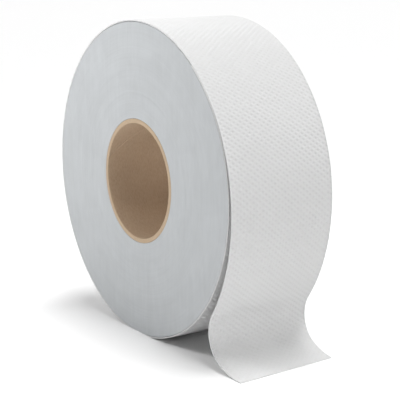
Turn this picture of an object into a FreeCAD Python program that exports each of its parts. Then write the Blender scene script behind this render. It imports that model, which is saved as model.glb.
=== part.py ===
"""Jumbo toilet paper roll for a washroom dispenser, standing on its curved side with the end of the web unrolled.

One long tissue web is wound on a wide cardboard core. The web is one piece from its first turn on the core to the
loose tail, so it is one solid. The core is a plain wound tube, as long as the roll is wide, with its ends flush.

Frame: the origin is the centre of the core's bore, halfway along it. +Y runs along the bore, +Z is up, and the tail
hangs on the +X side. Every section below is drawn in the XZ plane and runs along Y. Angles are in degrees, from +X
towards +Z, and the web is wound clockwise from the core out. Sizes are in millimetres.
"""

import FreeCAD
import Part
import math
import os

# The wound roll
roll_diameter = 228.6
roll_width = 84.0
foot_width = 28.0  # the soft roll settles on a flat spot this wide

# The core
bore_diameter = 83.8
core_wall = 3.1
core_edge_break = 0.4

# The tissue web, and the loose stretch at its end
sheet_thickness = 0.3
lift_angle = 51.6  # where the last turn leaves the roll
slack = 8.0  # how much larger than the roll's radius the loose turn's radius is
bend_radius = 22.0  # the tail turning away from the roll, above the table
sweep_radius = 48.0  # the tail running out on to the table
sweep_slope = 27.5  # how steeply the tail still falls where that sweep starts
table_run = 3.6  # how far the tail then lies flat, along its near edge
cut_skew = 5.5  # how much further back its cut end lies at the far edge than at the near one

# The turns that show on each cut end: one turn of a fine groove stands for a bundle of them
shown_turns = 6
groove_width = 0.9
groove_depth = 0.35
groove_margin = 3.2  # from the core to the groove's start, and from its end to the rim

axis = FreeCAD.Vector(0, 1, 0)
straight_down = 270.0
half_turn = 180.0
roll_radius = roll_diameter / 2
bore_radius = bore_diameter / 2
core_radius = bore_radius + core_wall
near_end = -roll_width / 2
far_end = roll_width / 2


def at(distance, angle, centre=(0.0, 0.0)):
    """The point (x, z) at a distance and an angle from a centre."""
    turn = math.radians(angle)
    return centre[0] + distance * math.cos(turn), centre[1] + distance * math.sin(turn)


def place(point, y=near_end):
    return FreeCAD.Vector(point[0], y, point[1])


def arc(centre, radius, start, end):
    """A round edge in the near end's plane, from one angle to another."""
    points = [place(at(radius, angle, centre)) for angle in (start, (start + end) / 2, end)]
    return Part.Arc(*points).toShape()


def winding(first_radius, growth, turns):
    """A spiral as half circles (centre, radius, start angle, end angle), each tangent to the next.

    It starts on the line where the tail lifts, and its radius grows by the same amount in every turn.
    """
    halves = []
    for half in range(2 * turns):
        centre = at(growth / 4 if half % 2 else -growth / 4, lift_angle)
        radius = first_radius + growth * (2 * half + 1) / 4
        start = lift_angle - half * half_turn
        halves.append((centre, radius, start, start - half_turn))
    return halves


last_turn = winding(roll_radius - sheet_thickness, sheet_thickness, 1)


def table_height():
    """The height of the flat spot, which cuts a chord of its own width off the last turn."""
    centre, radius = last_turn[0][:2]
    return centre[1] - math.sqrt(radius**2 - (foot_width / 2) ** 2)


def tail_arcs(table):
    """The loose stretch as three tangent arcs (centre, upper radius, lower radius, start angle, end angle).

    The first leaves the roll, the second turns back, and the third meets the table. That settles the angle where the
    first two join.
    """
    loose_radius = roll_radius + slack
    loose_centre = at(-slack, lift_angle)
    sweep_start = straight_down - sweep_slope
    sweep_height = table + sheet_thickness + sweep_radius
    bend_height = at(sweep_radius - bend_radius, sweep_start, (0.0, sweep_height))[1]
    rise = bend_height - loose_centre[1]
    join = math.degrees(math.asin(rise / (loose_radius + bend_radius)))
    bend_centre = at(loose_radius + bend_radius, join, loose_centre)
    sweep_centre = at(bend_radius - sweep_radius, sweep_start, bend_centre)
    return [
        (loose_centre, loose_radius, loose_radius - sheet_thickness, lift_angle, join),
        (bend_centre, bend_radius, bend_radius + sheet_thickness, join + half_turn, sweep_start),
        (sweep_centre, sweep_radius, sweep_radius + sheet_thickness, sweep_start, straight_down),
    ]


def web_section(table):
    """The wound turns and the tail as one outline. The tail's underside and the turn below it part in a cusp."""
    tail = tail_arcs(table)
    upper = [arc(centre, high, start, end) for centre, high, low, start, end in tail]
    lower = [arc(centre, low, end, start) for centre, high, low, start, end in reversed(tail)]
    landing = tail[-1][0][0]
    top = table + sheet_thickness
    flat = [(landing, top), (landing + table_run, top), (landing + table_run, table), (landing, table)]
    sides = [Part.makeLine(place(start), place(end)) for start, end in zip(flat, flat[1:])]
    turns = [arc(*half) for half in last_turn]
    return Part.Face(Part.Wire(turns + upper + sides + lower))


def cut_off(table):
    """What the slanted cut takes off the tail's end: a wedge that widens from nothing at the near edge."""
    end = tail_arcs(table)[-1][0][0] + table_run
    corners = [(end, near_end), (end + cut_skew, near_end), (end + cut_skew, far_end), (end - cut_skew, far_end)]
    outline = [FreeCAD.Vector(x, y, table - sheet_thickness) for x, y in corners + corners[:1]]
    return Part.Face(Part.makePolygon(outline)).extrude(FreeCAD.Vector(0, 0, bend_radius))


def foot_cutter(table):
    """What the flat spot takes off the underside of the roll."""
    corner = FreeCAD.Vector(-foot_width, near_end, table - roll_radius)
    return Part.makeBox(2 * foot_width, roll_width, roll_radius, corner)


def groove(face, outward):
    """The spiral groove in one cut end, as a tool that stands proud of the face at y = face."""
    pitch = (roll_radius - core_radius - 2 * groove_margin) / shown_turns
    tools = []
    for centre, radius, start, end in winding(core_radius + groove_margin, pitch, shown_turns):
        section = [
            place(at(radius - groove_width, start, centre), face + outward * groove_depth),
            place(at(radius, start, centre), face - outward * groove_depth),
            place(at(radius + groove_width, start, centre), face + outward * groove_depth),
        ]
        outline = Part.Face(Part.makePolygon(section + section[:1]))
        tools.append(outline.revolve(place(centre), axis, start - end))
    return tools


def tissue_web():
    table = table_height()
    web = web_section(table).extrude(axis * roll_width)
    web = web.cut(Part.makeCylinder(core_radius, roll_width, place((0, 0)), axis))
    web = web.cut(foot_cutter(table))
    web = web.cut(cut_off(table))
    for tool in groove(near_end, -1) + groove(far_end, 1):
        web = web.cut(tool)
    return web


def core():
    start = place((0, 0))
    outside = Part.makeCylinder(core_radius, roll_width, start, axis)
    tube = outside.cut(Part.makeCylinder(bore_radius, roll_width, start, axis))
    rims = [edge for edge in tube.Edges if edge.isClosed() and isinstance(edge.Curve, Part.Circle)]
    return tube.makeChamfer(core_edge_break, rims)


def write(name, shape):
    shape.exportStep(os.path.join("parts", name + ".step"))
    box = shape.BoundBox
    print(name, "valid", shape.isValid(), "solids", len(shape.Solids), "faces", len(shape.Faces),
          "volume", round(shape.Volume), "x", round(box.XMin, 2), round(box.XMax, 2),
          "z", round(box.ZMin, 2), round(box.ZMax, 2))


os.makedirs("parts", exist_ok=True)
write("tissue_web", tissue_web())
write("core", core())
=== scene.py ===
"""The jumbo toilet paper roll as it looks: an embossed tissue web on a board core, its end hanging loose.

The sections follow the roll as it is put together, from the core out to the loose end. Sizes are real ones in
millimetres, and mm turns them into metres. Angles are in degrees, from +X towards +Z.
"""

import math

import bmesh
import bpy
from mathutils import Matrix, Vector


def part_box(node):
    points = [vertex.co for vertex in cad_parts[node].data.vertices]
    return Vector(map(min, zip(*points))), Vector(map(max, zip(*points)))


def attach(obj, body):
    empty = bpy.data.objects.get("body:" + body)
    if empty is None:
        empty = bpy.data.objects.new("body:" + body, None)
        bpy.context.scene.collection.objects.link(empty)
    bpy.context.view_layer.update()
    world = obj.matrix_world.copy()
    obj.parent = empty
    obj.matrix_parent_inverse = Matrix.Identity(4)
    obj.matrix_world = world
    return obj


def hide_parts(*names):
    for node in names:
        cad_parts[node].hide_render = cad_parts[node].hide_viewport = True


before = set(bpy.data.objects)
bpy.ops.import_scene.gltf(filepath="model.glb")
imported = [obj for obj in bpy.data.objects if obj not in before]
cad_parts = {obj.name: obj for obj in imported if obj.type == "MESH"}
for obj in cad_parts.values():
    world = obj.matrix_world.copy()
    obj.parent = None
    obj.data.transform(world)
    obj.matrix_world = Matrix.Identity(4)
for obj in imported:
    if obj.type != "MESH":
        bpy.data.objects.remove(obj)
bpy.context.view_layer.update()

# The view
# A camera with a long lens looks down a little on the roll, from the side where its cut end and its loose end
# both show. Its place is fitted to the roll's outlines in the photo.
mm = 0.001
camera_azimuth, camera_elevation = math.radians(56.0075), math.radians(12.2322)
camera_distance = 910.54
camera_right, camera_down = 10.384, 18.554  # how far it stands off the line through the roll's middle
back = Vector((
    math.sin(camera_azimuth) * math.cos(camera_elevation),
    -math.cos(camera_azimuth) * math.cos(camera_elevation),
    math.sin(camera_elevation),
))
right = Vector((math.cos(camera_azimuth), math.sin(camera_azimuth), 0.0))
above = back.cross(right)
camera = bpy.data.objects.new("camera", bpy.data.cameras.new("camera"))
camera.data.lens = 111.2
camera.data.sensor_width = 36.0
camera.location = (back * camera_distance + right * camera_right - above * camera_down) * mm
camera.rotation_euler = Matrix((right, above, back)).transposed().to_euler()
bpy.context.collection.objects.link(camera)
scene = bpy.context.scene
scene.camera = camera
scene.view_settings.view_transform = "Standard"

# The table and the light
# A white laminate table stands under the roll. A large soft lamp hangs over it, a little behind, and a weaker
# one over its right. A low one shines from behind on the right, a small one from before the cut end on the
# left, and the studio's dim white walls give the rest.
table_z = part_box("tissue_web")[0][2]
table_reach = 12000.0
laminate_grain = 1.11


def linear(hex_colour):
    """An sRGB colour as hex digits, as the linear values that a shader takes."""
    parts = [int(hex_colour[i:i + 2], 16) / 255 for i in (0, 2, 4)]
    return (*(p / 12.92 if p <= 0.04045 else ((p + 0.055) / 1.055) ** 2.4 for p in parts), 1.0)


def feed(tree, node, feeds):
    """Gives each socket its value, the node or output that feeds it, or a list of those to join."""
    for socket, value in feeds.items():
        for source in value if isinstance(value, list) else [value]:
            if isinstance(source, bpy.types.Node):
                source = source.outputs[0]
            if isinstance(source, bpy.types.NodeSocket):
                tree.links.new(source, node.inputs[socket])
            else:
                node.inputs[socket].default_value = source


def add_node(tree, kind, feeds=None, **settings):
    """Adds a node with its settings, and feeds its sockets."""
    node = tree.nodes.new(kind)
    for name, value in settings.items():
        setattr(node, name, value)
    feed(tree, node, feeds or {})
    return node


def new_material(name):
    """A material with a plain Principled shader, with its tree and that shader."""
    material = bpy.data.materials.new(name)
    material.use_nodes = True
    tree = material.node_tree
    return material, tree, next(node for node in tree.nodes if node.type == "BSDF_PRINCIPLED")


def add_mesh(name, bm):
    """A new object at the origin, with the mesh that bm holds."""
    mesh = bpy.data.meshes.new(name)
    bm.to_mesh(mesh)
    bm.free()
    piece = bpy.data.objects.new(name, mesh)
    bpy.context.collection.objects.link(piece)
    return piece


# White laminate: matt, with a faint fine unevenness that only shows close by
laminate, tree, shader = new_material("white_laminate")
where = add_node(tree, "ShaderNodeTexCoord").outputs["Object"]
grain = add_node(tree, "ShaderNodeTexNoise", {"Vector": where, "Scale": 1 / (laminate_grain * mm)})
relief = add_node(tree, "ShaderNodeBump", {"Height": grain, "Distance": 0.02 * mm, "Strength": 0.3})
feed(tree, shader, {"Base Color": linear("fcfcfc"), "Roughness": 0.8, "IOR": 1.5, "Normal": relief})

bm = bmesh.new()
bmesh.ops.create_grid(bm, x_segments=8, y_segments=8, size=table_reach * mm)
bmesh.ops.translate(bm, verts=bm.verts, vec=(0.0, 0.0, table_z))
table = add_mesh("table", bm)
table.data.materials.append(laminate)

# The studio's walls are dim next to the lamps. A view low enough to show them sees them plain white
walls = bpy.data.worlds.new("studio")
walls.use_nodes = True
tree = walls.node_tree
white = linear("ffffff")
dim_walls = tree.nodes["Background"]
feed(tree, dim_walls, {"Color": white, "Strength": 0.15})
white_walls = add_node(tree, "ShaderNodeBackground", {"Color": white, "Strength": 1.0})
seen = add_node(tree, "ShaderNodeLightPath").outputs["Is Camera Ray"]
both_walls = add_node(tree, "ShaderNodeMixShader", {0: seen, 1: dim_walls, 2: white_walls})
feed(tree, tree.nodes["World Output"], {"Surface": both_walls})
scene.world = walls


def add_lamp(name, azimuth, elevation, spread, strength):
    """A far soft lamp, as wide in the sky as its spread, that lights the whole table evenly."""
    lamp = bpy.data.objects.new(name, bpy.data.lights.new(name, "SUN"))
    lamp.data.angle = math.radians(spread)
    lamp.data.energy = strength
    a, e = math.radians(azimuth), math.radians(elevation)
    toward = Vector((math.sin(a) * math.cos(e), -math.cos(a) * math.cos(e), math.sin(e)))
    lamp.rotation_euler = toward.to_track_quat("Z", "Y").to_euler()
    bpy.context.collection.objects.link(lamp)


add_lamp("overhead_lamp", 178.0, 78.0, 30.0, 2.12)
add_lamp("right_lamp", 92.0, 54.0, 30.0, 0.82)
add_lamp("low_lamp", 136.0, 20.0, 20.0, 0.51)
front_lamp = bpy.data.objects.new("front_lamp", bpy.data.lights.new("front_lamp", "AREA"))
front_lamp.data.size, front_lamp.data.energy = 200.0 * mm, 1.5
front_lamp.location = Vector((-200.0, -400.0, 360.0)) * mm
front_lamp.rotation_euler = front_lamp.location.to_track_quat("Z", "Y").to_euler()
front_lamp.visible_camera = False
bpy.context.collection.objects.link(front_lamp)

# The core
# A tube of grey-brown kraft board, strips of paper wound in a spiral round a mandrel and glued, then sawn to
# length. The edges of the innermost strip meet in one open seam inside, and the rims show the plies as fine
# rings.
half_width = 42.0
bore_radius, core_radius = 41.9, 45.0
lip = 0.3  # the saw leaves the corners slightly broken
lip_middle = 0.3 * lip  # how far the middle of a broken corner lies from the sides that it joins
ply, ply_dip = 0.44, 0.05  # the plies' thickness, and how far their glue lines lie back
sawn_depth = 0.2  # what lies this near to an end is sawn board
seam_depth = 0.4
seam_angle, seam_twist = 97.08, -1.637  # where the seam is halfway along, and how far it turns per millimetre
seam_column = 0.001  # only the points that start out at angle zero are as near to it as this, in radians
wall_steps, round_steps = 30, 360
fibre_length, fibre_width = 2.38, 0.667
mottle_size, fuzz_size = 14.3, 1.11
smallest, weld = 0.01, 0.002  # less than any step in the shapes, and how near two points are one
smooth_angle = 60.0  # the slopes between the dimples meet at up to 52 degrees, and stay smooth


def section_loop(name, points):
    """A piece's section as a closed loop of edges: x is the distance from the axis, y the place along it."""
    bm = bmesh.new()
    corners = [bm.verts.new((r * mm, y * mm, 0.0)) for r, y in points]
    for first, second in zip(corners, corners[1:] + corners[:1]):
        bm.edges.new((first, second))
    return add_mesh(name, bm)


def new_shape_tree(name, sizes):
    """A Geometry Nodes tree with a geometry, these named sizes and a material as its inputs."""
    tree = bpy.data.node_groups.new(name, "GeometryNodeTree")
    tree.interface.new_socket("Geometry", in_out="INPUT", socket_type="NodeSocketGeometry")
    for size, value in sizes.items():
        kind = "NodeSocketInt" if isinstance(value, int) else "NodeSocketFloat"
        tree.interface.new_socket(size, in_out="INPUT", socket_type=kind)
    tree.interface.new_socket("Material", in_out="INPUT", socket_type="NodeSocketMaterial")
    tree.interface.new_socket("Geometry", in_out="OUTPUT", socket_type="NodeSocketGeometry")
    return tree, add_node(tree, "NodeGroupInput").outputs


def swept_round(tree, given):
    """The section swept once round, and each point's distance from the axis, angle and place along the axis.

    The circle it is swept along has next to no radius, because the section's x is the distance from the axis.
    """
    section = add_node(tree, "GeometryNodeMeshToCurve", {0: given["Geometry"]})
    circle = add_node(tree, "GeometryNodeCurvePrimitiveCircle",
                      {"Resolution": given["Columns"], "Radius": 1e-7})
    swept = add_node(tree, "GeometryNodeCurveToMesh", {"Curve": circle, "Profile Curve": section})
    place = add_node(tree, "GeometryNodeInputPosition")
    parts = add_node(tree, "ShaderNodeSeparateXYZ", {0: place}).outputs
    level = add_node(tree, "ShaderNodeCombineXYZ", {0: parts[0], 1: parts[1]})
    outward = add_node(tree, "ShaderNodeVectorMath", {0: level}, operation="LENGTH").outputs["Value"]
    turn = add_node(tree, "ShaderNodeMath", {0: parts[1], 1: parts[0]}, operation="ARCTAN2")
    along = add_node(tree, "ShaderNodeMath", {0: parts[2], 1: -1.0}, operation="MULTIPLY")
    return swept, outward, turn, along


def set_round(tree, geometry, outward, turn, along):
    """Places the points by distance from the roll's axis, angle and place along the axis."""
    cosine = add_node(tree, "ShaderNodeMath", {0: turn}, operation="COSINE")
    sine = add_node(tree, "ShaderNodeMath", {0: turn}, operation="SINE")
    x = add_node(tree, "ShaderNodeMath", {0: outward, 1: cosine}, operation="MULTIPLY")
    z = add_node(tree, "ShaderNodeMath", {0: outward, 1: sine}, operation="MULTIPLY")
    place = add_node(tree, "ShaderNodeCombineXYZ", {0: x, 1: along, 2: z})
    return add_node(tree, "GeometryNodeSetPosition", {0: geometry, "Position": place})


def shaped(base, tree, sizes, material, last):
    """Ends the tree after its last node, and gives the base object the plain closed mesh that the tree makes.

    Points that lie together are welded, and no edge up to the smooth angle shows.
    """
    given = next(node for node in tree.nodes if node.type == "GROUP_INPUT").outputs
    last = add_node(tree, "GeometryNodeRealizeInstances", {0: last})
    last = add_node(tree, "GeometryNodeSetShadeSmooth", {0: last})
    last = add_node(tree, "GeometryNodeSetMaterial", {"Geometry": last, "Material": given["Material"]})
    add_node(tree, "NodeGroupOutput", {0: last})
    modifier = base.modifiers.new("shape", "NODES")
    modifier.node_group = tree
    values = {**sizes, "Material": material}
    for item in tree.interface.items_tree:
        if item.in_out == "INPUT" and item.name in values:
            modifier[item.identifier] = values[item.name]
    evaluated = base.evaluated_get(bpy.context.evaluated_depsgraph_get())
    mesh = bpy.data.meshes.new_from_object(evaluated)
    base.modifiers.remove(modifier)
    bm = bmesh.new()
    bm.from_mesh(mesh)
    bmesh.ops.remove_doubles(bm, verts=bm.verts, dist=weld * mm)
    bmesh.ops.recalc_face_normals(bm, faces=bm.faces)
    bm.to_mesh(mesh)
    bm.free()
    mesh.set_sharp_from_angle(angle=math.radians(smooth_angle))
    base.data = mesh
    mesh.name = base.name
    return base


# Kraft board: matt grey-brown paper with short darker fibres and a soft mottle along the strip. The fibres
# are drawn thicker than real ones, which are too fine to show
kraft, tree, shader = new_material("kraft_board")
where = add_node(tree, "ShaderNodeAttribute", attribute_name="strip").outputs["Vector"]
fibre_scale = (1 / (fibre_length * mm), 1 / (fibre_width * mm), 1 / (fibre_width * mm))
stretched = add_node(tree, "ShaderNodeMapping", {"Vector": where, "Scale": fibre_scale})
fibres = add_node(tree, "ShaderNodeTexNoise",
                  {"Vector": stretched, "Scale": 1.0, "Detail": 3.0, "Roughness": 0.6})
mottle = add_node(tree, "ShaderNodeTexNoise",
                  {"Vector": where, "Scale": 1 / (mottle_size * mm), "Detail": 4.0})
tones = add_node(tree, "ShaderNodeValToRGB", {"Fac": fibres})
for stop, position, colour in zip(tones.color_ramp.elements, (0.3, 0.62), ("b19981", "bea88f")):
    stop.position, stop.color = position, linear(colour)
shade = add_node(tree, "ShaderNodeMapRange", {0: mottle, 1: 0.3, 2: 0.7, 3: 0.97, 4: 1.025})
tinted = add_node(tree, "ShaderNodeVectorMath", {0: tones, "Scale": shade}, operation="SCALE")
relief = add_node(tree, "ShaderNodeBump", {"Height": fibres, "Distance": 0.03 * mm, "Strength": 0.4})
feed(tree, shader, {"Base Color": tinted, "Roughness": 0.82, "IOR": 1.5, "Normal": relief})

# Sawn kraft board: the rims, paler than the wall, with the plies as fine rings and a little loose fibre
cut_board, tree, shader = new_material("sawn_kraft_board")
where = add_node(tree, "ShaderNodeAttribute", attribute_name="strip").outputs["Vector"]
parts = add_node(tree, "ShaderNodeSeparateXYZ", {0: where}).outputs
plies_out = add_node(tree, "ShaderNodeMath", {0: parts[2], 1: 2 * math.pi / (ply * mm)}, operation="MULTIPLY")
ply_rings = add_node(tree, "ShaderNodeMath", {0: plies_out}, operation="SINE")
fuzz = add_node(tree, "ShaderNodeTexNoise", {"Vector": where, "Scale": 1 / (fuzz_size * mm), "Detail": 3.0})
ply_shade = add_node(tree, "ShaderNodeMapRange", {0: ply_rings, 1: -1.0, 2: 1.0, 3: 0.95, 4: 1.03})
fuzz_shade = add_node(tree, "ShaderNodeMapRange", {0: fuzz, 1: 0.3, 2: 0.7, 3: 0.95, 4: 1.04})
shade = add_node(tree, "ShaderNodeMath", {0: ply_shade, 1: fuzz_shade}, operation="MULTIPLY")
tinted = add_node(tree, "ShaderNodeVectorMath", {0: linear("c0a98e")[:3], "Scale": shade}, operation="SCALE")
relief = add_node(tree, "ShaderNodeBump", {"Height": fuzz, "Distance": 0.05 * mm, "Strength": 0.5})
feed(tree, shader, {"Base Color": tinted, "Roughness": 0.9, "IOR": 1.5, "Normal": relief})

straight = [-1 + 2 * i / wall_steps for i in range(wall_steps + 1)]
wall = [(bore_radius, (half_width - lip) * part) for part in straight]
rim = [(bore_radius + lip_middle, half_width - lip_middle)]
plies = int((core_radius - bore_radius - 2 * lip) / ply)
for i in range(plies + 1):
    rim.append((bore_radius + lip + i * ply, half_width))
    if i < plies:
        rim.append((bore_radius + lip + (i + 0.5) * ply, half_width - ply_dip))
rim += [(core_radius - lip_middle, half_width - lip_middle), (core_radius, half_width - lip)]
outside = [(core_radius, -(half_width - lip) * part) for part in straight[1:-1]]
loop = wall + rim + outside + [(r, -y) for r, y in reversed(rim)]
core_sizes = {
    "Columns": round_steps,
    "Seam turn": math.radians(seam_angle),
    "Seam twist": math.radians(seam_twist) / mm,
    "Seam depth": seam_depth * mm,
    "Bore radius": bore_radius * mm,
}
tree, given = new_shape_tree("wound core", core_sizes)
swept, outward, turn, along = swept_round(tree, given)
on_wall = add_node(tree, "ShaderNodeMath", {0: outward, 1: (bore_radius + smallest) * mm},
                   operation="LESS_THAN")
off_seam = add_node(tree, "ShaderNodeMath", {0: turn}, operation="ABSOLUTE")
at_seam = add_node(tree, "ShaderNodeMath", {0: off_seam, 1: seam_column}, operation="LESS_THAN")
in_seam = add_node(tree, "ShaderNodeMath", {0: on_wall, 1: at_seam}, operation="MULTIPLY")
deeper = add_node(tree, "ShaderNodeMath", {0: in_seam, 1: given["Seam depth"], 2: outward},
                  operation="MULTIPLY_ADD")
twisted = add_node(tree, "ShaderNodeMath", {0: along, 1: given["Seam twist"], 2: turn},
                   operation="MULTIPLY_ADD")
turned = add_node(tree, "ShaderNodeMath", {0: twisted, 1: given["Seam turn"]}, operation="ADD")

# The strip that each point lies on, unrolled: how far along it, across the tube, and how deep in the board
full_turn = add_node(tree, "ShaderNodeMath", {0: turn, 1: 2 * math.pi, 2: 0.0}, operation="WRAP")
unrolled = add_node(tree, "ShaderNodeMath", {0: along, 1: given["Seam twist"], 2: full_turn},
                    operation="MULTIPLY_ADD")
arc_length = add_node(tree, "ShaderNodeMath", {0: unrolled, 1: given["Bore radius"]}, operation="MULTIPLY")
strip = add_node(tree, "ShaderNodeCombineXYZ", {0: arc_length, 1: along, 2: outward})
marked = add_node(tree, "GeometryNodeStoreNamedAttribute", {0: swept, "Name": "strip", "Value": strip},
                  data_type="FLOAT_VECTOR", domain="POINT")
placed = set_round(tree, marked, deeper, turned, along)
core = shaped(section_loop("core_tube", loop), tree, core_sizes, kraft, placed)
core.data.materials.append(cut_board)
for face in core.data.polygons:
    face.material_index = int(abs(face.center.y) > (half_width - sawn_depth) * mm)
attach(core, "root")
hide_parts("core")

# The wound turns
# About 300 metres of two-ply tissue wound on the core, turn on turn. The log is sawn into rolls, so each end
# is a smooth face of some six hundred turns seen edge on, with faint rings where the winding tension or the
# saw changed.
web_thickness = 0.3
hole_radius, wound_radius = 45.12, 113.2
wound_steps = 300
lift_angle = 51.6  # where the loose end leaves the roll
turn_growth = 0.8  # how much further out the last turn ends than it starts, which makes room for its relief
rim_power = 12.0  # keeps that growth to the outermost turns
face_step = 0.6
rings = [(64.0, 1.1, -0.16), (69.0, 1.6, 0.07), (98.0, 2.5, 0.05)]  # each one's radius, width and height
ring_pitch, ring_height = 2.4, 0.06  # of the fainter ones all over the face
face_depth = 0.3  # what lies this near to an end is the sawn face
foot_gap = 0.05  # between the wound turns and the last turn below them

hole_corner = [(0.0, 0.4), (0.1, 0.08)]  # out from the hole, and back from the face

# The last few turns stand back from the face, which leaves a dark line inside the last turn
rim_inset = 0.4  # how far in from the outermost turn the face ends
rim_slope = [(0.35, 0.25), (0.05, 1.3), (0.0, 2.0)]  # in from the outermost turn, and back from the face

# The turns are far too fine to show, so broader rings stand for them. The saw leaves blotches and streaks
fine_ring, broad_ring, ring_change = 1.1, 7.0, 1.3
blotch_size = 22.2
streak_width, streak_length, streak_depth = 3.03, 25.0, 1000.0

# Cut tissue: very matt and slightly bluish, finely ringed, with soft blotches where the saw pressed it flat
cut_tissue, tree, shader = new_material("cut_tissue_edges")
where = add_node(tree, "ShaderNodeTexCoord").outputs["Object"]
parts = add_node(tree, "ShaderNodeSeparateXYZ", {0: where}).outputs
flat_place = add_node(tree, "ShaderNodeCombineXYZ", {0: parts[0], 2: parts[2]})
outward = add_node(tree, "ShaderNodeVectorMath", {0: flat_place}, operation="LENGTH").outputs["Value"]
direction = add_node(tree, "ShaderNodeVectorMath", {0: flat_place}, operation="NORMALIZE")
direction = add_node(tree, "ShaderNodeVectorMath", {0: direction, "Scale": ring_change}, operation="SCALE")
round_place = add_node(tree, "ShaderNodeSeparateXYZ", {0: direction}).outputs
shades = []
for ring, detail, darkest, lightest in ((fine_ring, 2.0, 0.975, 1.02), (broad_ring, 3.0, 0.982, 1.016)):
    rings_out = add_node(tree, "ShaderNodeMath", {0: outward, 1: 1 / (ring * mm)}, operation="MULTIPLY")
    ring_place = add_node(tree, "ShaderNodeCombineXYZ", {0: rings_out, 1: round_place[0], 2: round_place[2]})
    pattern = add_node(tree, "ShaderNodeTexNoise", {"Vector": ring_place, "Scale": 1.0, "Detail": detail})
    to_shade = {0: pattern, 1: 0.25, 2: 0.75, 3: darkest, 4: lightest}
    shades.append(add_node(tree, "ShaderNodeMapRange", to_shade))
    if ring == fine_ring:
        relief = add_node(tree, "ShaderNodeBump", {"Height": pattern, "Distance": 0.12 * mm, "Strength": 0.5})
blotches = add_node(tree, "ShaderNodeTexNoise",
                    {"Vector": where, "Scale": 1 / (blotch_size * mm), "Detail": 4.0, "Distortion": 0.8})
streak_scale = tuple(1 / (size * mm) for size in (streak_width, streak_depth, streak_length))
streak_place = add_node(tree, "ShaderNodeMapping", {"Vector": where, "Scale": streak_scale})
streaks = add_node(tree, "ShaderNodeTexNoise",
                   {"Vector": streak_place, "Scale": 1.0, "Detail": 3.0, "Distortion": 0.4})
shades.append(add_node(tree, "ShaderNodeMapRange", {0: blotches, 1: 0.3, 2: 0.7, 3: 0.965, 4: 1.02}))
shades.append(add_node(tree, "ShaderNodeMapRange", {0: streaks, 1: 0.3, 2: 0.7, 3: 0.975, 4: 1.02}))
shade = shades[0]
for next_shade in shades[1:]:
    shade = add_node(tree, "ShaderNodeMath", {0: shade, 1: next_shade}, operation="MULTIPLY")
tinted = add_node(tree, "ShaderNodeVectorMath", {0: linear("c0c3c5")[:3], "Scale": shade}, operation="SCALE")
feed(tree, shader, {"Base Color": tinted, "Roughness": 0.92, "IOR": 1.45, "Normal": relief})


def face_place(radius):
    """How far along the axis the sawn face lies at a radius."""
    return half_width + sum(height * math.exp(-((radius - r) / width) ** 2) for r, width, height in rings)


face_reach = wound_radius - rim_inset - hole_radius
face_steps = round(face_reach / face_step)
face = [hole_radius + face_reach * i / face_steps for i in range(1, face_steps + 1)]
half_loop = [(hole_radius + out, half_width - back) for out, back in hole_corner]
half_loop += [(r, face_place(r)) for r in face]
half_loop += [(wound_radius - inward, half_width - back) for inward, back in rim_slope]
loop = half_loop + [(r, -y) for r, y in reversed(half_loop)]
wound_sizes = {
    "Columns": wound_steps,
    "Face": (half_width - face_depth) * mm,
    "Ring pitch": ring_pitch * mm,
    "Ring height": ring_height * mm,
    "Table": table_z + (web_thickness + foot_gap) * mm,
    "Hole radius": hole_radius * mm,
    "Wound radius": wound_radius * mm,
    "Turn growth": turn_growth * mm,
    "Rim power": rim_power,
    "Lift angle": math.radians(lift_angle),
}
tree, given = new_shape_tree("wound turns", wound_sizes)
swept, outward, turn, along = swept_round(tree, given)

# The outermost turns lie on a spiral, which grows clockwise from the line where the loose end lifts
clockwise = add_node(tree, "ShaderNodeMath", {0: given["Lift angle"], 1: turn}, operation="SUBTRACT")
clockwise = add_node(tree, "ShaderNodeMath", {0: clockwise, 1: 2 * math.pi, 2: 0.0}, operation="WRAP")
growth = add_node(tree, "ShaderNodeMapRange",
                  {0: clockwise, 1: 0.0, 2: 2 * math.pi, 3: 0.0, 4: given["Turn growth"]})
to_rim = add_node(tree, "ShaderNodeMapRange",
                  {0: outward, 1: given["Hole radius"], 2: given["Wound radius"], 3: 0.0, 4: 1.0})
to_rim = add_node(tree, "ShaderNodeMath", {0: to_rim, 1: given["Rim power"]}, operation="POWER")
outward = add_node(tree, "ShaderNodeMath", {0: growth, 1: to_rim, 2: outward}, operation="MULTIPLY_ADD")

# Faint uneven rings all over both faces
cosine = add_node(tree, "ShaderNodeMath", {0: turn}, operation="COSINE")
sine = add_node(tree, "ShaderNodeMath", {0: turn}, operation="SINE")
pitches = add_node(tree, "ShaderNodeMath", {0: outward, 1: given["Ring pitch"]}, operation="DIVIDE")
ring_place = add_node(tree, "ShaderNodeCombineXYZ", {0: pitches, 1: cosine, 2: sine})
ring_noise = add_node(tree, "ShaderNodeTexNoise", {"Vector": ring_place, "Scale": 1.0, "Detail": 1.0})
centred = add_node(tree, "ShaderNodeMath", {0: ring_noise, 1: 0.5}, operation="SUBTRACT")
side = add_node(tree, "ShaderNodeMath", {0: along}, operation="SIGN")
from_middle = add_node(tree, "ShaderNodeMath", {0: along}, operation="ABSOLUTE")
on_face = add_node(tree, "ShaderNodeMath", {0: from_middle, 1: given["Face"]}, operation="GREATER_THAN")
sided = add_node(tree, "ShaderNodeMath", {0: side, 1: on_face}, operation="MULTIPLY")
high = add_node(tree, "ShaderNodeMath", {0: centred, 1: given["Ring height"]}, operation="MULTIPLY")
ringed = add_node(tree, "ShaderNodeMath", {0: high, 1: sided, 2: along}, operation="MULTIPLY_ADD")
placed = set_round(tree, swept, outward, turn, ringed)

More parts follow.
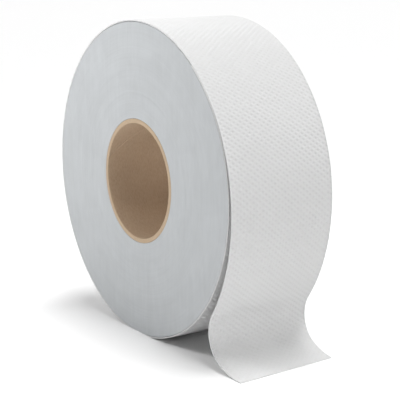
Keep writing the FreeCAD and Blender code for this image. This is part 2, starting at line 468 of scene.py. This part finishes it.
# The roll rests on a flat foot
rested = add_node(tree, "ShaderNodeSeparateXYZ", {0: add_node(tree, "GeometryNodeInputPosition")}).outputs
foot = add_node(tree, "ShaderNodeMath", {0: rested[2], 1: given["Table"]}, operation="MAXIMUM")
on_foot = add_node(tree, "ShaderNodeCombineXYZ", {0: rested[0], 1: rested[1], 2: foot})
placed = add_node(tree, "GeometryNodeSetPosition", {0: placed, "Position": on_foot})
wound = shaped(section_loop("wound_turns", loop), tree, wound_sizes, cut_tissue, placed)
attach(wound, "root")
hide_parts("tissue_web")

# The last turn and the loose end
# One sheet of the embossed two-ply tissue: it lies round the roll once, leaves it high on one side, curves
# down to the table and out over it, and ends in a slightly slanted cut. Steel pins press its rows of small
# round dimples.
roll_radius = 114.3
row_target = 2.066  # the rows' pitch is the nearest to this that divides the web evenly
dots_across = 16
slack, bend_radius, sweep_radius, sweep_slope, table_run = 8.0, 22.0, 48.0, 27.5, 3.6  # as in the solid
cut_skew, skew_length = 5.5, 120.0  # how much shorter the far edge is, and over what length it comes to that
drift_near, drift_far = 0.8, 3.7  # how far sideways the near and the far edge drift by the tail's end
hidden_tail = 46.0  # the loose end lies close on the roll for this long
flat_steps = 4
seam_weld = 0.02  # the sides and edges of the sheet are joined where they are this near
fibre_along, fibre_across, cloud_size = 0.714, 0.3125, 16.7
ground = table_z / mm

# The embossing is drawn deeper than on real tissue, so that it shows as clearly as in the photo. Each dimple
# is a pit, the paper sags to its brim from between the dimples, and there it stands out from the plain sheet
dimple_radius, dimple_depth, dimple_shoulder, crown = 0.85, 0.32, 0.43, 0.47


def at(distance, angle, centre=(0.0, 0.0)):
    """The point (x, z) at a distance and an angle from a centre."""
    turn = math.radians(angle)
    return centre[0] + distance * math.cos(turn), centre[1] + distance * math.sin(turn)


def along_arc(centre, radius, start, end):
    """Points a millimetre apart along an arc, without its end."""
    steps = max(2, round(abs(math.radians(end - start)) * radius))
    return [at(radius, start + (end - start) * i / steps, centre) for i in range(steps)]


def length_of(points):
    """The length of the line through these points."""
    return sum(math.dist(a, b) for a, b in zip(points, points[1:]))


# The path under the sheet: two half circles round the roll, the tail's three arcs and its flat end
quarter = turn_growth / 4
path = along_arc(at(-quarter, lift_angle), roll_radius - 3 * quarter, lift_angle, lift_angle - 180)
path += along_arc(at(quarter, lift_angle), roll_radius - quarter, lift_angle - 180, lift_angle - 360)
path = [(x, max(z, ground)) for x, z in path]
turn_points = len(path)
loose_radius, loose_centre = roll_radius + slack, at(-slack, lift_angle)
sweep_start = 270 - sweep_slope
bend_height = ground + web_thickness + sweep_radius + at(sweep_radius - bend_radius, sweep_start)[1]
join = math.degrees(math.asin((bend_height - loose_centre[1]) / (loose_radius + bend_radius)))
bend_centre = at(loose_radius + bend_radius, join, loose_centre)
sweep_centre = at(bend_radius - sweep_radius, sweep_start, bend_centre)
path += along_arc(loose_centre, loose_radius, lift_angle, join)
path += along_arc(bend_centre, bend_radius, join + 180, sweep_start)
path += along_arc(sweep_centre, sweep_radius, sweep_start, 270)
landing = sweep_centre[0]
path += [(landing + table_run * i / flat_steps, ground + web_thickness) for i in range(flat_steps + 1)]
web_length = length_of(path)
row_pairs = round(web_length / row_target / 2)
row_pitch = web_length / row_pairs / 2
tail_length = web_length - length_of(path[:turn_points + 1])

# Embossed tissue: soft white paper, very matt, with short fibres and a faint cloudiness in the pulp. The
# fibres are drawn thicker than real ones, which are too fine to show
tissue, tree, shader = new_material("embossed_tissue")
where = add_node(tree, "ShaderNodeAttribute", attribute_name="web").outputs["Vector"]
fibre_scale = tuple(1 / (size * mm) for size in (fibre_along, fibre_across, fibre_along))
stretched = add_node(tree, "ShaderNodeMapping", {"Vector": where, "Scale": fibre_scale})
fibres = add_node(tree, "ShaderNodeTexNoise",
                  {"Vector": stretched, "Scale": 1.0, "Detail": 2.0, "Distortion": 1.0})
clouds = add_node(tree, "ShaderNodeTexNoise",
                  {"Vector": where, "Scale": 1 / (cloud_size * mm), "Detail": 3.0})
fibre_shade = add_node(tree, "ShaderNodeMapRange", {0: fibres, 1: 0.3, 2: 0.7, 3: 0.985, 4: 1.01})
cloud_shade = add_node(tree, "ShaderNodeMapRange", {0: clouds, 1: 0.3, 2: 0.7, 3: 0.992, 4: 1.006})
shade = add_node(tree, "ShaderNodeMath", {0: fibre_shade, 1: cloud_shade}, operation="MULTIPLY")
tinted = add_node(tree, "ShaderNodeVectorMath", {0: linear("d9d9d9")[:3], "Scale": shade}, operation="SCALE")
relief = add_node(tree, "ShaderNodeBump", {"Height": fibres, "Distance": 0.04 * mm, "Strength": 0.4})
feed(tree, shader, {"Base Color": tinted, "Roughness": 0.95, "IOR": 1.45, "Normal": relief})

bm = bmesh.new()
points = [bm.verts.new((x * mm, 0.0, z * mm)) for x, z in path]
for first, second in zip(points, points[1:]):
    bm.edges.new((first, second))
sheet_base = add_mesh("last_turn_and_loose_end", bm)
sheet_sizes = {
    "Half rows": row_pairs,
    "Tail half rows": int((tail_length - hidden_tail) / row_pitch / 2),
    "Dots": dots_across,
    "Row pitch": row_pitch * mm,
    "Dot pitch": 2 * half_width / dots_across * mm,
    "Dimple radius": dimple_radius * mm,
    "Dimple depth": dimple_depth * mm,
    "Shoulder": dimple_shoulder * mm,
    "Crown": crown * mm,
    "Thickness": web_thickness * mm,
    "Tail": tail_length * mm,
    "Cut skew": cut_skew * mm,
    "Skewed length": skew_length * mm,
    "Near drift": drift_near * mm,
    "Far drift": drift_far * mm,
    "Table": table_z,
}
tree, given = new_shape_tree("embossed sheet", sheet_sizes)
position = add_node(tree, "GeometryNodeInputPosition")
parts = add_node(tree, "ShaderNodeSeparateXYZ", {0: position}).outputs
half_dot = add_node(tree, "ShaderNodeMath", {0: given["Dot pitch"], 1: 0.5}, operation="MULTIPLY")
two_rows = add_node(tree, "ShaderNodeMath", {0: given["Row pitch"], 1: 2.0}, operation="MULTIPLY")
full_width = add_node(tree, "ShaderNodeMath", {0: given["Dot pitch"], 1: given["Dots"]}, operation="MULTIPLY")
half_sheet = add_node(tree, "ShaderNodeMath", {0: full_width, 1: 0.5}, operation="MULTIPLY")
near_side = add_node(tree, "ShaderNodeMath", {0: full_width, 1: -0.5}, operation="MULTIPLY")
last_dot = add_node(tree, "ShaderNodeMath", {0: given["Dots"], 1: 1.0}, operation="SUBTRACT")
past_dots = add_node(tree, "ShaderNodeMath", {0: given["Dots"], 1: 0.5, 2: 0.25}, operation="MULTIPLY_ADD")
before_dots = add_node(tree, "ShaderNodeMath", {0: past_dots, 1: -1.0}, operation="MULTIPLY")
kept_y = add_node(tree, "ShaderNodeClamp", {0: parts[1], 1: near_side, 2: half_sheet})


def moved(geometry, x=0.0, y=0.0, z=0.0, turn=(0.0, 0.0, 0.0)):
    """A geometry of the sheet's tree, turned and then moved."""
    shift = add_node(tree, "ShaderNodeCombineXYZ", {0: x, 1: y, 2: z})
    return add_node(tree, "GeometryNodeTransform", {0: geometry, "Translation": shift, "Rotation": turn})


# One dimple in its diamond-shaped share of the sheet: a pit with six sides, and slopes up to the four
# corners. Each of the six points goes to the nearest corner: its place as a share of the radius, pulled in a
# little and rounded, is that corner's
pull = 0.9
pit = add_node(tree, "GeometryNodeMeshCircle", {"Vertices": 6, "Radius": given["Dimple radius"]},
               fill_type="TRIANGLE_FAN")
reach = add_node(tree, "ShaderNodeVectorMath", {0: position}, operation="LENGTH").outputs["Value"]
half_reach = add_node(tree, "ShaderNodeMath", {0: given["Dimple radius"], 1: 0.5}, operation="MULTIPLY")
middle = add_node(tree, "FunctionNodeCompare", {0: reach, 1: half_reach}, operation="LESS_THAN")
sunk = add_node(tree, "ShaderNodeMath", {0: given["Dimple depth"], 1: -1.0}, operation="MULTIPLY")
sunk = add_node(tree, "ShaderNodeCombineXYZ", {2: sunk})
pit = add_node(tree, "GeometryNodeSetPosition", {0: pit, "Selection": middle, "Offset": sunk})
sides = add_node(tree, "GeometryNodeInputMeshEdgeNeighbors")
rim_edges = add_node(tree, "FunctionNodeCompare", {2: sides, 3: 1}, data_type="INT", operation="EQUAL")
tile = add_node(tree, "GeometryNodeExtrudeMesh", {0: pit, "Selection": rim_edges, "Offset Scale": 0.0},
                mode="EDGES")
to_corner = add_node(tree, "ShaderNodeMath", {0: pull, 1: given["Dimple radius"]}, operation="DIVIDE")
corner = []
for part, corner_reach in ((parts[0], given["Row pitch"]), (parts[1], half_dot)):
    part = add_node(tree, "ShaderNodeMath", {0: part, 1: to_corner}, operation="MULTIPLY")
    part = add_node(tree, "ShaderNodeMath", {0: part}, operation="ROUND")
    corner.append(add_node(tree, "ShaderNodeMath", {0: part, 1: corner_reach}, operation="MULTIPLY"))
shoulder = add_node(tree, "ShaderNodeCombineXYZ", {0: corner[0], 1: corner[1], 2: given["Shoulder"]})
tile = add_node(tree, "GeometryNodeSetPosition",
                {0: tile, "Selection": tile.outputs["Top"], "Position": shoulder})
rim_down = add_node(tree, "ShaderNodeMath", {0: given["Shoulder"], 1: -1.0}, operation="MULTIPLY")
tile = moved(tile, z=rim_down)
plain_tile = add_node(tree, "GeometryNodeMeshCircle", {"Vertices": 4, "Radius": 1.0}, fill_type="NGON")
tile_size = add_node(tree, "ShaderNodeCombineXYZ", {0: given["Row pitch"], 1: half_dot, 2: 1.0})
plain_tile = add_node(tree, "GeometryNodeTransform", {0: plain_tile, "Scale": tile_size})


def dimpled_side(half_rows):
    """A flat side with twice as many rows, centred, and half its length.

    Every other row is shifted by half a dot pitch. The shares outside the outermost dimples are plain.
    """
    fewer_rows = add_node(tree, "ShaderNodeMath", {0: half_rows, 1: 1.0}, operation="SUBTRACT")
    least_rows = add_node(tree, "ShaderNodeMath", {0: half_rows, 1: 2.0}, operation="SUBTRACT")
    more_rows = add_node(tree, "ShaderNodeMath", {0: half_rows, 1: 1.0}, operation="ADD")
    shares = []
    for rows_here, row_steps, dots_here, dot_steps, shift, item in (
        (half_rows, fewer_rows, given["Dots"], last_dot, -0.25, tile),
        (fewer_rows, least_rows, given["Dots"], last_dot, 0.25, tile),
        (2, half_rows, given["Dots"], last_dot, 0.25, plain_tile),
        (half_rows, fewer_rows, 1, 0.0, past_dots, plain_tile),
        (more_rows, half_rows, 1, 0.0, before_dots, plain_tile),
    ):
        length = add_node(tree, "ShaderNodeMath", {0: row_steps, 1: two_rows}, operation="MULTIPLY")
        width = add_node(tree, "ShaderNodeMath", {0: dot_steps, 1: given["Dot pitch"]}, operation="MULTIPLY")
        spots = add_node(tree, "GeometryNodeMeshGrid", {0: length, 1: width, 2: rows_here, 3: dots_here})
        sideways = add_node(tree, "ShaderNodeMath", {0: given["Dot pitch"], 1: shift}, operation="MULTIPLY")
        spots = moved(spots, y=sideways)
        shares.append(add_node(tree, "GeometryNodeInstanceOnPoints", {"Points": spots, "Instance": item}))
    side = add_node(tree, "GeometryNodeJoinGeometry", {0: shares})
    side = add_node(tree, "GeometryNodeRealizeInstances", {0: side})
    reach = add_node(tree, "ShaderNodeMath", {0: half_rows, 1: given["Row pitch"]}, operation="MULTIPLY")
    back_reach = add_node(tree, "ShaderNodeMath", {0: reach, 1: -1.0}, operation="MULTIPLY")
    kept_x = add_node(tree, "ShaderNodeClamp", {0: parts[0], 1: back_reach, 2: reach})
    kept = add_node(tree, "ShaderNodeCombineXYZ", {0: kept_x, 1: kept_y, 2: parts[2]})
    return add_node(tree, "GeometryNodeSetPosition", {0: side, "Position": kept}), reach


outer_side, half_length = dimpled_side(given["Half rows"])
outer_side = moved(outer_side, x=half_length, z=given["Crown"])

# The inner side shows the dimples as bumps on the loose end. On the roll it is hidden, so it is plain there,
# and a fan of triangles joins the two
inner_tail, half_tail = dimpled_side(given["Tail half rows"])
length = add_node(tree, "ShaderNodeMath", {0: half_length, 1: 2.0}, operation="MULTIPLY")
tail_middle = add_node(tree, "ShaderNodeMath", {0: length, 1: half_tail}, operation="SUBTRACT")
inner_tail = moved(inner_tail, x=tail_middle)
turn_end = add_node(tree, "ShaderNodeMath", {0: tail_middle, 1: half_tail}, operation="SUBTRACT")
plain_length = add_node(tree, "ShaderNodeMath", {0: turn_end, 1: given["Row pitch"]}, operation="SUBTRACT")
turn_rows = add_node(tree, "ShaderNodeMath", {0: given["Half rows"], 1: given["Tail half rows"]},
                     operation="SUBTRACT")
turn_rows = add_node(tree, "ShaderNodeMath", {0: turn_rows, 1: 2.0}, operation="MULTIPLY")
plain = add_node(tree, "GeometryNodeMeshGrid", {0: plain_length, 1: full_width, 2: turn_rows, 3: 2})
plain_place = add_node(tree, "ShaderNodeMath", {0: plain_length, 1: 0.5}, operation="MULTIPLY")
plain = moved(plain, x=plain_place)
columns = add_node(tree, "ShaderNodeMath", {0: given["Dots"], 1: 2.0, 2: 2.0}, operation="MULTIPLY_ADD")
column_width = add_node(tree, "ShaderNodeMath", {0: full_width, 1: half_dot}, operation="ADD")
fan = add_node(tree, "GeometryNodeMeshGrid", {0: given["Row pitch"], 1: column_width, 2: 2, 3: columns})
on_sheet = add_node(tree, "ShaderNodeCombineXYZ", {0: parts[0], 1: kept_y})
fan = add_node(tree, "GeometryNodeSetPosition", {0: fan, "Position": on_sheet})
fan_start = add_node(tree, "FunctionNodeCompare", {0: parts[0], 1: 0.0}, operation="LESS_THAN")
to_side = add_node(tree, "ShaderNodeMath", {0: parts[1]}, operation="SIGN")
to_side = add_node(tree, "ShaderNodeMath", {0: to_side, 1: half_sheet}, operation="MULTIPLY")
fanned = add_node(tree, "ShaderNodeCombineXYZ", {0: parts[0], 1: to_side})
fan = add_node(tree, "GeometryNodeSetPosition", {0: fan, "Selection": fan_start, "Position": fanned})
fan_place = add_node(tree, "ShaderNodeMath", {0: given["Row pitch"], 1: 0.5, 2: plain_length},
                     operation="MULTIPLY_ADD")
fan = moved(fan, x=fan_place)
inner_side = add_node(tree, "GeometryNodeJoinGeometry", {0: [inner_tail, fan, plain]})
inner_down = add_node(tree, "ShaderNodeMath", {0: given["Thickness"], 1: -1.0}, operation="MULTIPLY")
inner_side = moved(inner_side, z=inner_down)

# The cut edges all round
rail_points = add_node(tree, "ShaderNodeMath", {0: given["Half rows"], 1: 2.0, 2: 1.0},
                       operation="MULTIPLY_ADD")
edge_height = add_node(tree, "ShaderNodeMath", {0: given["Thickness"], 1: given["Crown"]}, operation="ADD")
rail = add_node(tree, "GeometryNodeMeshGrid", {0: length, 1: edge_height, 2: rail_points, 3: 2})
cap = add_node(tree, "GeometryNodeMeshGrid", {0: edge_height, 1: column_width, 2: 2, 3: columns})
cap = add_node(tree, "GeometryNodeSetPosition", {0: cap, "Position": on_sheet})
cap_low = add_node(tree, "FunctionNodeCompare", {0: parts[0], 1: 0.0}, operation="GREATER_THAN")
first_cap = add_node(tree, "GeometryNodeSetPosition", {0: cap, "Selection": cap_low, "Position": fanned})
edge_middle = add_node(tree, "ShaderNodeMath", {0: edge_height, 1: 0.5, 2: inner_down},
                       operation="MULTIPLY_ADD")
on_its_side, on_end = (math.pi / 2, 0.0, 0.0), (0.0, math.pi / 2, 0.0)
edges = [
    moved(rail, half_length, near_side, edge_middle, on_its_side),
    moved(rail, half_length, half_sheet, edge_middle, on_its_side),
    moved(first_cap, 0.0, 0.0, edge_middle, on_end),
    moved(cap, length, 0.0, edge_middle, on_end),
]
closed = add_node(tree, "GeometryNodeJoinGeometry", {0: [outer_side, inner_side] + edges})
closed = add_node(tree, "GeometryNodeMergeByDistance", {0: closed, "Distance": seam_weld * mm})
closed = add_node(tree, "GeometryNodeStoreNamedAttribute", {0: closed, "Name": "web", "Value": position},
                  data_type="FLOAT_VECTOR", domain="POINT")

# The flat sheet is laid along its path, a little askew towards its end, and its end slants
skew_start = add_node(tree, "ShaderNodeMath", {0: length, 1: given["Skewed length"]}, operation="SUBTRACT")
skewed = add_node(tree, "ShaderNodeMapRange",
                  {0: parts[0], 1: skew_start, 2: length, 3: 0.0, 4: given["Cut skew"]},
                  interpolation_type="SMOOTHSTEP")
to_far = add_node(tree, "ShaderNodeMapRange", {0: parts[1], 1: near_side, 2: half_sheet, 3: 0.0, 4: 1.0})
shorter = add_node(tree, "ShaderNodeMath", {0: skewed, 1: to_far}, operation="MULTIPLY")
distance = add_node(tree, "ShaderNodeMath", {0: parts[0], 1: shorter}, operation="SUBTRACT")
tail_start = add_node(tree, "ShaderNodeMath", {0: length, 1: given["Tail"]}, operation="SUBTRACT")
down_tail = add_node(tree, "ShaderNodeMapRange", {0: parts[0], 1: tail_start, 2: length, 3: 0.0, 4: 1.0})
down_tail = add_node(tree, "ShaderNodeMath", {0: down_tail, 1: 2.0}, operation="POWER")
drift = add_node(tree, "ShaderNodeMapRange",
                 {0: to_far, 1: 0.0, 2: 1.0, 3: given["Near drift"], 4: given["Far drift"]})
drift = add_node(tree, "ShaderNodeMath", {0: drift, 1: down_tail}, operation="MULTIPLY")
across = add_node(tree, "ShaderNodeMath", {0: parts[1], 1: drift}, operation="SUBTRACT")
path_curve = add_node(tree, "GeometryNodeMeshToCurve", {0: given["Geometry"]})
on_path = add_node(tree, "GeometryNodeSampleCurve", {"Curves": path_curve, "Length": distance},
                   mode="LENGTH").outputs
outwards = add_node(tree, "ShaderNodeVectorMath", {0: on_path["Tangent"], 1: (0.0, 1.0, 0.0)},
                    operation="CROSS_PRODUCT")
outwards = add_node(tree, "ShaderNodeVectorMath", {0: outwards}, operation="NORMALIZE")
lifted = add_node(tree, "ShaderNodeVectorMath", {0: outwards, "Scale": parts[2]}, operation="SCALE")
lifted = add_node(tree, "ShaderNodeVectorMath", {0: lifted, 1: on_path["Position"]}, operation="ADD")
sideways = add_node(tree, "ShaderNodeCombineXYZ", {1: across})
laid = add_node(tree, "ShaderNodeVectorMath", {0: lifted, 1: sideways}, operation="ADD")
laid_parts = add_node(tree, "ShaderNodeSeparateXYZ", {0: laid}).outputs
pressed = add_node(tree, "ShaderNodeMath", {0: laid_parts[2], 1: given["Table"]}, operation="MAXIMUM")
laid = add_node(tree, "ShaderNodeCombineXYZ", {0: laid_parts[0], 1: laid_parts[1], 2: pressed})
closed = add_node(tree, "GeometryNodeSetPosition", {0: closed, "Position": laid})
sheet = shaped(sheet_base, tree, sheet_sizes, tissue, closed)
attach(sheet, "root")
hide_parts("tissue_web")
